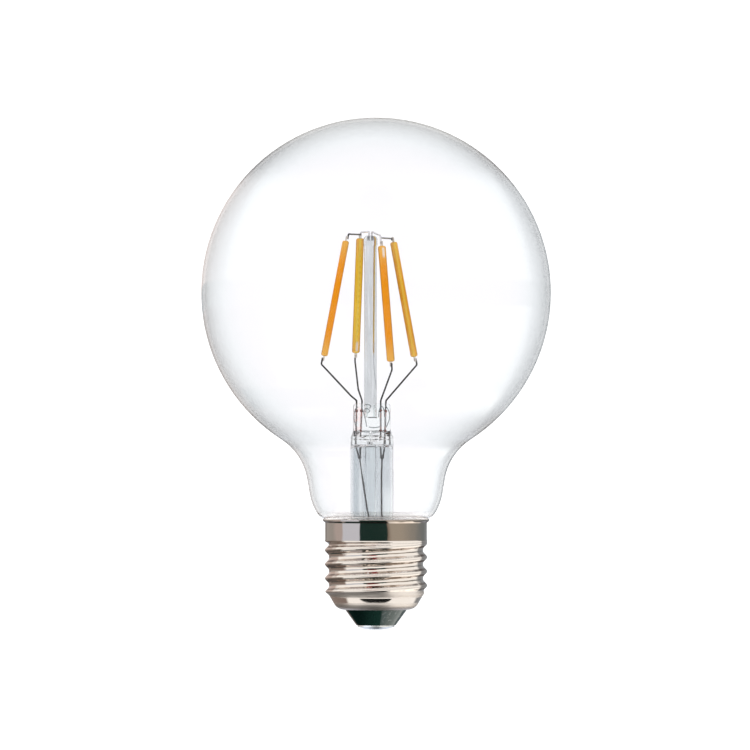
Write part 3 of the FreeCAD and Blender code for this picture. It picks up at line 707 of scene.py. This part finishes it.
class BULB_OT_cap(bpy.types.Operator):
    """Give the screw cap its plating, its black insulator and its cement."""

    bl_idname = "bulb.cap"
    bl_label = "Screw cap"

    # Heights on the shell, in metres, over which something comes in
    FOOT = (0.0068, 0.0072)
    NECKED_IN = (0.0083, 0.0100, 0.0002)    # with the softness of its ends
    THREAD = (0.0085, 0.0095)
    SKIRT = (0.0236, 0.0246)
    BULGE_MIDDLE = 0.0080
    BULGE_REACH = 0.0014
    MOUTH = 0.0245      # above which the inside of the shell shows

    # Dents: patterns in waves per metre across and upright, and heights as shares of the dent's depth
    FINE_DENTS = (170.0, 520.0)
    FINE_ON_THREAD = 0.5
    FINE_ON_SKIRT = -0.38
    WIDE_DENTS = (110.0, 45.0)
    WIDE_ON_THREAD = 5.0
    WIDE_ON_ALL = 2.0
    BULGE_HEIGHT = -0.56
    INWARDS = -0.003    # below which a face counts as turned inwards

    SOLDER_DENTS = (700.0, 700.0)
    SOLDER_DEPTH = 0.00003
    SCRATCHES = (900.0, 900.0)
    SCRATCH_GLINT_SIDE = (0.0005, 0.003)
    LIGHT_SIDE = (-0.005, 0.001)

    def execute(self, context):
        settings = context.scene.bulb_metal
        self.shell(settings)
        self.contact(settings)
        self.insulator(settings)
        # The cement glows with painted light.
        cement, _, _ = finish("Cement", **{
            "Base Color": settings.lining, "Roughness": 0.9,
            "Emission Color": settings.lining, "Emission Strength": settings.lining_light})
        coat(cement, "cement_ring")
        return {"FINISHED"}

    def shell(self, settings):
        """Plated sheet with faint dents, duller where it was drawn in, and cement inside its mouth that
        glows with painted light.
        """
        material, recipe, surface = finish("Plated cap", **{
            "Base Color": settings.plate, "Metallic": 1.0, "Roughness": settings.roughness})
        place = object_place(recipe)
        height = recipe.direction(place, UP)
        drawn_in = 1 - height.step(*self.FOOT) + height.band(*self.NECKED_IN)
        recipe.fill(surface.inputs["Roughness"],
                    drawn_in * (settings.dull - settings.roughness) + settings.roughness)
        recipe.fill(surface.inputs["Normal"], recipe.add("ShaderNodeBump", {
            "Height": self.dents(recipe, place, height), "Distance": settings.dent}))
        outwards = recipe.add("ShaderNodeVectorMath", {0: place, 1: (1.0, 1.0, 0.0)},
                              operation="MULTIPLY")
        facing = recipe.add("ShaderNodeNewGeometry", output="True Normal")
        turned_in = recipe.direction(outwards, facing).math("LESS_THAN", self.INWARDS)
        inner = turned_in * height.math("GREATER_THAN", self.MOUTH)
        recipe.fill(surface.inputs["Metallic"], 1 - inner)
        recipe.fill(surface.inputs["Base Color"],
                    recipe.blend(inner, settings.plate, settings.lining))
        # Painted light: the cement inside the mouth glows.
        recipe.fill(surface.inputs["Emission Color"],
                    recipe.blend(inner, (0.0, 0.0, 0.0), settings.lining))
        surface.inputs["Emission Strength"].default_value = settings.lining_light
        coat(material, "cap_shell")

    def dents(self, recipe, place, height):
        """Fine and wide dents of the thin sheet, and the bulge under the thread."""
        threaded = height.step(*self.THREAD)
        fineness = threaded * self.FINE_ON_THREAD + height.step(*self.SKIRT) * self.FINE_ON_SKIRT
        fine = (streaks(recipe, place, *self.FINE_DENTS) - 0.5) * fineness
        width = threaded * self.WIDE_ON_THREAD + self.WIDE_ON_ALL
        wide = (streaks(recipe, place, *self.WIDE_DENTS) - 0.5) * width
        hill = 1 - ((height - self.BULGE_MIDDLE) / self.BULGE_REACH) ** 2.0
        return fine + wide + hill.math("MAXIMUM", 0.0) * self.BULGE_HEIGHT

    def contact(self, settings):
        """Soldered plate with small dents."""
        material, recipe, surface = finish("Solder", **{
            "Base Color": settings.solder, "Metallic": 1.0, "Roughness": 0.3})
        recipe.fill(surface.inputs["Normal"], recipe.add("ShaderNodeBump", {
            "Height": streaks(recipe, object_place(recipe), *self.SOLDER_DENTS),
            "Distance": self.SOLDER_DEPTH}))
        coat(material, "centre_contact")

    def insulator(self, settings):
        """Glossy black, darker at the left by painted shade, and finely scratched at the right, where
        the scratches are partly painted highlights.
        """
        material, recipe, surface = finish("Black insulator", **{"Roughness": 0.1})
        place = object_place(recipe)
        side = recipe.direction(place, RIGHT)
        scratch_glint = streaks(recipe, place, *self.SCRATCHES).step(0.55, 0.7)
        # Painted shade at the left; scratches, partly painted highlights, only at the right.
        tone = recipe.blend(side.step(*self.LIGHT_SIDE), settings.shade, settings.insulator)
        tone = recipe.blend(scratch_glint * side.step(*self.SCRATCH_GLINT_SIDE), tone, settings.scratch_glint)
        recipe.fill(surface.inputs["Base Color"], tone)
        coat(material, "cap_insulator")


class BULB_OT_circuit(bpy.types.Operator):
    """Give the supply circuit in the cap its finishes."""

    bl_idname = "bulb.circuit"
    bl_label = "Supply circuit"

    def execute(self, context):
        settings = context.scene.bulb_circuit
        board, _, _ = finish("Circuit board", **{"Base Color": settings.board, "Roughness": 0.4})
        coat(board, "driver_board")
        can, _, _ = finish("Capacitor sleeve", **{"Base Color": settings.sleeve, "Roughness": 0.3})
        coat(can, "capacitor")
        package, _, _ = finish("Black moulding", **{
            "Base Color": settings.moulding, "Roughness": 0.5})
        coat(package, "fuse_resistor", "rectifier", "driver_chip")
        return {"FINISHED"}


class BULB_OT_stage(bpy.types.Operator):
    """Set up the white backdrop and floor, the room's light and the camera."""

    bl_idname = "bulb.stage"
    bl_label = "Studio"

    GLASS_BOUNCES = 32
    GLOSSY_BOUNCES = 8
    CLEAR_BOUNCES = 16
    FLOOR_SHARE = 0.4       # of the backdrop's radius
    FLOOR_HEIGHT = -0.0005
    SENSOR_WIDTH = 36.0     # in millimetres
    CLIP = (0.01, 50.0)

    # Round the horizon, lights from one turn to another and how soft their ends are, in radians to
    # the right of the camera
    HORIZON = (
        ("far_left", -2.6, 0.31, 0.05),
        ("near_left", -1.9, 0.31, 0.12),
        ("soft_box", -1.46, -0.5, 0.05),
        ("dark", -0.55, 0.40, 0.04),
    )
    DUSK_END = (0.35, 0.66)
    FAR_RIGHT = (0.9, 2.4)
    BEHIND = (2.4, 3.0)

    # Above and below it, places are given by the upright or leaning surface that mirrors them: the
    # tangent of its turn to the right and the sine of its lean upwards
    LEVEL = (-0.075, 0.075, 0.012)      # leans that mirror the horizon, with the softness of its ends
    BLOTS = ((-0.80, 0.24), (-0.53, 0.065))     # dark spots below the camera: lean and its half height
    BLOT_HALF_WIDTH = 0.38
    BLOT_EDGE = (0.9, 1.1)
    RED_MIDDLE = (-0.1, 0.13)
    RED_REACH = (0.10, 0.06)
    RED_EDGE = (0.7, 1.2)

    def execute(self, context):
        settings = context.scene.bulb_studio
        self.surroundings(settings)
        self.room(context.scene, settings)
        self.camera(context.scene, settings)
        context.scene.view_settings.view_transform = "Standard"
        bounces = context.scene.cycles
        bounces.max_bounces = self.GLASS_BOUNCES
        bounces.transmission_bounces = self.GLASS_BOUNCES
        bounces.glossy_bounces = self.GLOSSY_BOUNCES
        bounces.transparent_max_bounces = self.CLEAR_BOUNCES
        return {"FINISHED"}

    def surroundings(self, settings):
        """White backdrop all round and a pale floor, both lit evenly."""
        material = bpy.data.materials.new("White backdrop")
        material.use_nodes = True
        recipe = Recipe(material.node_tree)
        light = recipe.add("ShaderNodeEmission", {
            "Color": (1.0, 1.0, 1.0), "Strength": settings.backdrop})
        recipe.add("ShaderNodeOutputMaterial", {"Surface": light})
        bpy.ops.mesh.primitive_uv_sphere_add(segments=64, ring_count=32, radius=settings.reach)
        backdrop = bpy.context.object
        backdrop.name = "Backdrop"
        bpy.ops.mesh.primitive_circle_add(vertices=96, radius=settings.reach * self.FLOOR_SHARE,
                                          fill_type="NGON", location=(0, 0, self.FLOOR_HEIGHT))
        floor = bpy.context.object
        floor.name = "Floor"
        for screen in (backdrop, floor):
            screen.data.materials.append(material)
            screen.visible_diffuse = False
            screen.visible_glossy = False
            screen.visible_shadow = False

    def room(self, scene, settings):
        """Room as the metal and the glass mirror it, and plain white where the camera sees it."""
        world = bpy.data.worlds.new("Studio room")
        scene.world = world
        world.use_nodes = True
        recipe = Recipe(world.node_tree)
        place = recipe.add("ShaderNodeTexCoord", output="Generated")
        right = recipe.direction(place, RIGHT)
        back = recipe.direction(place, BACK)
        up = recipe.direction(place, UP)
        side = right / (1 - back)
        slope = up / ((1 - back) * 2).math("SQRT")
        horizon = self.horizon(recipe, settings, right.math("ARCTAN2", -back))
        slopes = self.slopes(recipe, settings, side, slope)
        tone = recipe.blend(slope.band(*self.LEVEL), slopes, horizon)
        straight = recipe.add("ShaderNodeLightPath", output="Is Camera Ray")
        tone = recipe.blend(straight, tone, (settings.backdrop,) * 3)
        light = recipe.add("ShaderNodeBackground", {"Color": tone, "Strength": 1.0})
        recipe.add("ShaderNodeOutputWorld", {"Surface": light})

    def horizon(self, recipe, settings, turn):
        """Lights round the horizon, which upright surfaces mirror."""
        tone = recipe.blend(turn.step(*self.FAR_RIGHT), settings.bronze, settings.far_right)
        tone = recipe.blend(turn.step(*self.DUSK_END), settings.dusk, tone)
        for name, first, last, soft in self.HORIZON:
            tone = recipe.blend(turn.band(first, last, soft), tone, getattr(settings, name))
        return recipe.blend(abs(turn).step(*self.BEHIND), tone, settings.room)

    def slopes(self, recipe, settings, side, slope):
        """Lights above and below the horizon, which the thread, the cone and the insulator mirror."""
        left = -side
        down = -slope
        lights = (
            (settings.low_box, side.step(0.30, 0.55) * down.step(0.54, 0.6)),
            (settings.high_left, left.step(1.35, 1.9)),
            (settings.low_left, left.step(0.75, 0.95) * down.step(0.0, 0.1)),
            (settings.dark, side.band(-2.5, 0.0, 0.15) * down.band(0.545, 0.66, 0.015)),
            (settings.room, side.step(1.5, 2.2)),
            (settings.gap, slope.step(0.58, 0.74)),
            (settings.gap, down.step(0.62, 0.74)),
            (settings.soft_box, down.step(0.76, 0.92)),
            (settings.far_left, slope.step(0.76, 0.95)),
        )
        tone = settings.sheet
        for light, share in lights:
            tone = recipe.blend(share, tone, light)
        for lean, reach in self.BLOTS:
            blot = self.oval(side, slope, (0.0, lean), (self.BLOT_HALF_WIDTH, reach))
            tone = recipe.blend(1 - blot.step(*self.BLOT_EDGE), tone, settings.under)
        spot = self.oval(side, slope, self.RED_MIDDLE, self.RED_REACH)
        return recipe.blend(1 - spot.step(*self.RED_EDGE), tone, settings.red)

    @staticmethod
    def oval(side, slope, centre, reach):
        """Value that rises from 0 in the middle of an oval to 1 on its outline."""
        across = (side - centre[0]) / reach[0]
        upright = (slope - centre[1]) / reach[1]
        return across ** 2.0 + upright ** 2.0

    def camera(self, scene, settings):
        """Level camera in front of the bulb, whose picture has a set height at the bulb's axis."""
        data = bpy.data.cameras.new("Camera")
        camera = bpy.data.objects.new("Camera", data)
        scene.collection.objects.link(camera)
        camera.location = (-settings.aim_side, -settings.distance, settings.aim_height)
        camera.rotation_euler = (math.radians(90), 0, 0)
        data.sensor_width = self.SENSOR_WIDTH
        data.lens = self.SENSOR_WIDTH * settings.distance / settings.frame_height
        data.clip_start, data.clip_end = self.CLIP
        scene.camera = camera


class BULB_PT_panel(bpy.types.Panel):
    """Steps and settings of the globe bulb."""

    bl_idname = "BULB_PT_panel"
    bl_label = "Globe bulb"
    bl_space_type = "VIEW_3D"
    bl_region_type = "UI"
    bl_category = "Globe bulb"

    def draw(self, context):
        layout = self.layout
        for operator in OPERATORS:
            layout.operator(operator.bl_idname)
        for name in SETTINGS:
            group = getattr(context.scene, name)
            for key in group.__annotations__:
                layout.prop(group, key)


OPERATORS = (
    BULB_OT_glass,
    BULB_OT_ridges,
    BULB_OT_filaments,
    BULB_OT_wires,
    BULB_OT_weld_spots,
    BULB_OT_cap,
    BULB_OT_circuit,
    BULB_OT_stage,
)
SETTINGS = {
    "bulb_glass": GlassSettings,
    "bulb_filament": FilamentSettings,
    "bulb_metal": MetalSettings,
    "bulb_circuit": CircuitSettings,
    "bulb_studio": StudioSettings,
}


def register():
    for group in SETTINGS.values():
        bpy.utils.register_class(group)
    for operator in OPERATORS:
        bpy.utils.register_class(operator)
    bpy.utils.register_class(BULB_PT_panel)
    for name, group in SETTINGS.items():
        setattr(bpy.types.Scene, name, PointerProperty(type=group))


def unregister():
    for name in SETTINGS:
        delattr(bpy.types.Scene, name)
    bpy.utils.unregister_class(BULB_PT_panel)
    for operator in reversed(OPERATORS):
        bpy.utils.unregister_class(operator)
    for group in reversed(SETTINGS.values()):
        bpy.utils.unregister_class(group)


def main():
    register()
    bpy.ops.bulb.glass()
    bpy.ops.bulb.ridges()
    bpy.ops.bulb.filaments()
    bpy.ops.bulb.wires()
    bpy.ops.bulb.weld_spots()
    bpy.ops.bulb.cap()
    bpy.ops.bulb.circuit()
    bpy.ops.bulb.stage()


if __name__ == "__main__":
    main()
